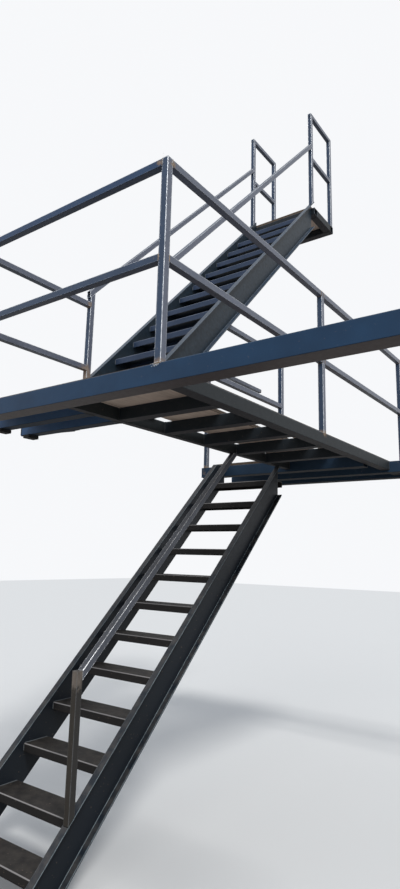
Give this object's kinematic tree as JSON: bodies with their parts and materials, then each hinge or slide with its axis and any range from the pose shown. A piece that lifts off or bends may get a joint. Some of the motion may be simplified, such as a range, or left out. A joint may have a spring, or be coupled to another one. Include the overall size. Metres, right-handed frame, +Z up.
{
  "type": "two-flight steel stair with raised walkway",
  "caption": "Outdoor steel stair that doubles back over a raised plywood walkway, with tubular guard rails, fixed beside a wall.",
  "frame": {"origin": "middle of the underside of the near stringer's foot plate, on the ground", "axes": "+X across the stair, away from the wall beside it; +Y the way both flights climb; +Z up"},
  "size_m": [3.333, 3.813, 6.505],
  "materials": {
    "beam_paint": "satin",
    "frame_paint": "satin",
    "tube_paint": "gloss",
    "tread_paint": "worn satin",
    "plate_paint": "satin",
    "plywood": "matt",
    "packing": "matt"
  },
  "bodies": {
    "root": {"back_beam": "frame_paint", "cross_beam": "frame_paint", "foot_plates": "plate_paint", "front_beam": "beam_paint", "guard_mid_rails": "tube_paint", "guard_posts": "tube_paint", "guard_rails_stairwell": "tube_paint", "guard_rails_wall_side": "tube_paint", "guard_top_rail_front": "tube_paint", "guard_top_rail_right": "tube_paint", "header_beam": "frame_paint", "lower_handrail": "tube_paint", "lower_newel": "tube_paint", "lower_stringer_near": "frame_paint", "lower_stringer_wall": "frame_paint", "lower_tread_01": "tread_paint", "lower_tread_02": "tread_paint", "lower_tread_03": "tread_paint", "lower_tread_04": "tread_paint", "lower_tread_05": "tread_paint", "lower_tread_06": "tread_paint", "lower_tread_07": "tread_paint", "lower_tread_08": "tread_paint", "lower_tread_09": "tread_paint", "lower_tread_10": "tread_paint", "lower_tread_11": "tread_paint", "lower_tread_12": "tread_paint", "packing_blocks": "packing", "upper_foot_gusset": "plate_paint", "upper_foot_plates": "plate_paint", "upper_guard_posts": "tube_paint", "upper_guard_rails": "tube_paint", "upper_handrails": "tube_paint", "upper_landing_frame": "frame_paint", "upper_landing_panel": "plywood", "upper_landing_sides": "frame_paint", "upper_newels": "tube_paint", "upper_stringer_near": "frame_paint", "upper_stringer_wall": "frame_paint", "upper_treads": "frame_paint", "walking_panels": "plywood", "walkway_joists": "frame_paint", "walkway_side_left": "frame_paint", "walkway_side_right": "frame_paint", "wall_joists": "frame_paint"}
  },
  "joints": []
}
